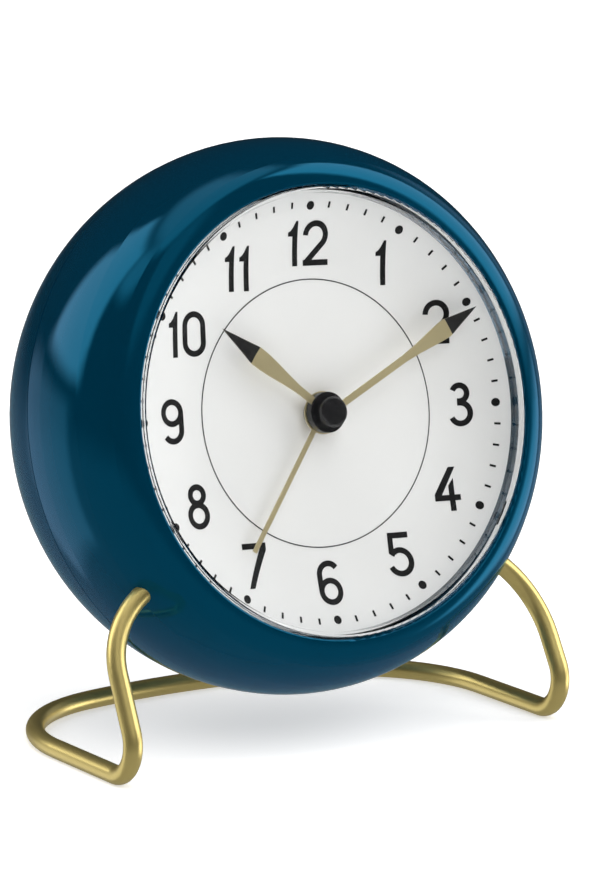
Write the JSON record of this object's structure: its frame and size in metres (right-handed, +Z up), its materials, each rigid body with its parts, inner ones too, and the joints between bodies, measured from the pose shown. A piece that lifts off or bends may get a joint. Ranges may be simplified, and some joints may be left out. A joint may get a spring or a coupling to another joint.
{
  "type": "table alarm clock",
  "caption": "Round table alarm clock in a glossy domed case, with a dished white dial under a clear lens, on a one-piece bent rod stand; pressing the lens snoozes the alarm.",
  "frame": {"origin": "centre of the bounding box's footprint, on the surface that the rod stand rests on", "axes": "+Z up; -Y the way the dial faces; +X to the viewer's right"},
  "size_m": [0.11, 0.078, 0.1167],
  "materials": {
    "case_plastic": "glossy, deep petrol blue",
    "clear_plastic": "clear, polished",
    "dial_white": "matte white lacquer",
    "print_black": "matte printed ink",
    "hand_brass": "pale satin brass, black tips",
    "satin_black": "satin black",
    "rod_brass": "satin brushed",
    "carrier_plastic": "moulded grey",
    "movement_plastic": "moulded off-white",
    "gear_plastic": "natural moulded",
    "steel": "bright zinc plate",
    "stator_steel": "dull stamped",
    "magnet": "dull black",
    "turned_brass": "turned",
    "copper_wire": "enamelled copper",
    "board_green": "solder mask",
    "inner_black": "moulded black",
    "battery_sleeve": "plain dark sleeve",
    "red_lead": "red insulation"
  },
  "bodies": {
    "clock": {"front_shell": "case_plastic", "rear_shell": "case_plastic", "carrier": "carrier_plastic", "dial_plate": "dial_white", "dial_numerals": "print_black", "dial_circle": "print_black", "minute_marks": "print_black", "hour_dots": "print_black", "lens_spring": "steel", "washer": "steel", "fixing_nut": "turned_brass", "centre_bush": "turned_brass", "movement_plate": "movement_plastic", "movement_cover": "movement_plastic", "movement_screws": "steel", "stator": "stator_steel", "coil": "copper_wire", "circuit_board": "board_green", "driver_chip": "inner_black", "quartz_can": "steel", "snooze_switch": "inner_black", "alarm_buzzer": "inner_black", "alarm_switch_body": "inner_black", "battery": "battery_sleeve", "battery_plate": "steel", "battery_leaf": "steel", "battery_leads": "red_lead", "carrier_screws": "steel", "stand_screws": "steel", "stand": "rod_brass"},
    "minute_train": {"minute_arbor": "steel", "centre_wheel": "gear_plastic", "minute_hand": "hand_brass", "hand_cap": "satin_black"},
    "hour_train": {"hour_wheel": "gear_plastic", "hour_hub": "satin_black", "hour_hand": "hand_brass"},
    "alarm_train": {"alarm_wheel": "gear_plastic", "alarm_hand": "hand_brass"},
    "minute_wheel_arbor": {"minute_wheel": "gear_plastic"},
    "third_arbor": {"third_wheel": "gear_plastic"},
    "fourth_arbor": {"fourth_wheel": "gear_plastic"},
    "rotor_arbor": {"rotor": "magnet"},
    "time_setter": {"time_set_gear": "gear_plastic", "time_set_knob": "satin_black"},
    "alarm_setter": {"alarm_set_gear": "gear_plastic", "alarm_set_knob": "satin_black"},
    "snooze_lens": {"lens": "clear_plastic"},
    "alarm_on_slider": {"alarm_slider": "satin_black"},
    "door": {"battery_door": "case_plastic"}
  },
  "joints": [
    {"name": "minute_turn", "type": "hinge", "parent": "clock", "child": "minute_train", "pos_m": [0.00004, -0.01104, 0.06291], "axis": [-0.0094, 0.9799, -0.1991], "continuous": true},
    {"name": "hour_turn", "type": "hinge", "parent": "clock", "child": "hour_train", "pos_m": [0.00004, -0.01104, 0.06291], "axis": [-0.0094, 0.9799, -0.1991], "continuous": true},
    {"name": "minute_wheel_turn", "type": "hinge", "parent": "clock", "child": "minute_wheel_arbor", "pos_m": [-0.01007, -0.00984, 0.06927], "axis": [-0.0094, 0.9799, -0.1991], "continuous": true},
    {"name": "time_set_turn", "type": "hinge", "parent": "clock", "child": "time_setter", "pos_m": [-0.00197, -0.00725, 0.08163], "axis": [-0.0094, 0.9799, -0.1991], "continuous": true},
    {"name": "third_turn", "type": "hinge", "parent": "clock", "child": "third_arbor", "pos_m": [0.00533, -0.01303, 0.05287], "axis": [-0.0094, 0.9799, -0.1991], "continuous": true},
    {"name": "fourth_turn", "type": "hinge", "parent": "clock", "child": "fourth_arbor", "pos_m": [-0.00479, -0.01338, 0.05161], "axis": [-0.0094, 0.9799, -0.1991], "continuous": true},
    {"name": "rotor_turn", "type": "hinge", "parent": "clock", "child": "rotor_arbor", "pos_m": [-0.0076, -0.01475, 0.04501], "axis": [-0.0094, 0.9799, -0.1991], "continuous": true},
    {"name": "alarm_turn", "type": "hinge", "parent": "clock", "child": "alarm_train", "pos_m": [0.00004, -0.01104, 0.06291], "axis": [-0.0094, 0.9799, -0.1991], "continuous": true},
    {"name": "alarm_set_turn", "type": "hinge", "parent": "clock", "child": "alarm_setter", "pos_m": [0.0101, -0.00877, 0.07359], "axis": [-0.0094, 0.9799, -0.1991], "continuous": true},
    {"name": "snooze_press", "type": "slide", "parent": "clock", "child": "snooze_lens", "axis": [-0.0094, 0.9799, -0.1991], "range_m": [0, 0.0005], "stiffness_N_per_m": 600, "springref_m": -0.0003},
    {"name": "alarm_slide", "type": "slide", "parent": "clock", "child": "alarm_on_slider", "axis": [0.9989, 0, -0.0471], "range_m": [0, 0.003]},
    {"name": "door_lift", "type": "slide", "parent": "clock", "child": "door", "axis": [-0.0094, 0.9799, -0.1991], "range_m": [0, 0.012]}
  ],
  "couplings": [
    {"joint": "hour_turn", "follows": "minute_turn", "ratio": 0.083333},
    {"joint": "minute_wheel_turn", "follows": "minute_turn", "ratio": -0.33333},
    {"joint": "time_set_turn", "follows": "minute_turn", "ratio": 0.5},
    {"joint": "third_turn", "follows": "minute_turn", "ratio": -8},
    {"joint": "fourth_turn", "follows": "minute_turn", "ratio": 60},
    {"joint": "alarm_set_turn", "follows": "alarm_turn", "ratio": -2}
  ]
}
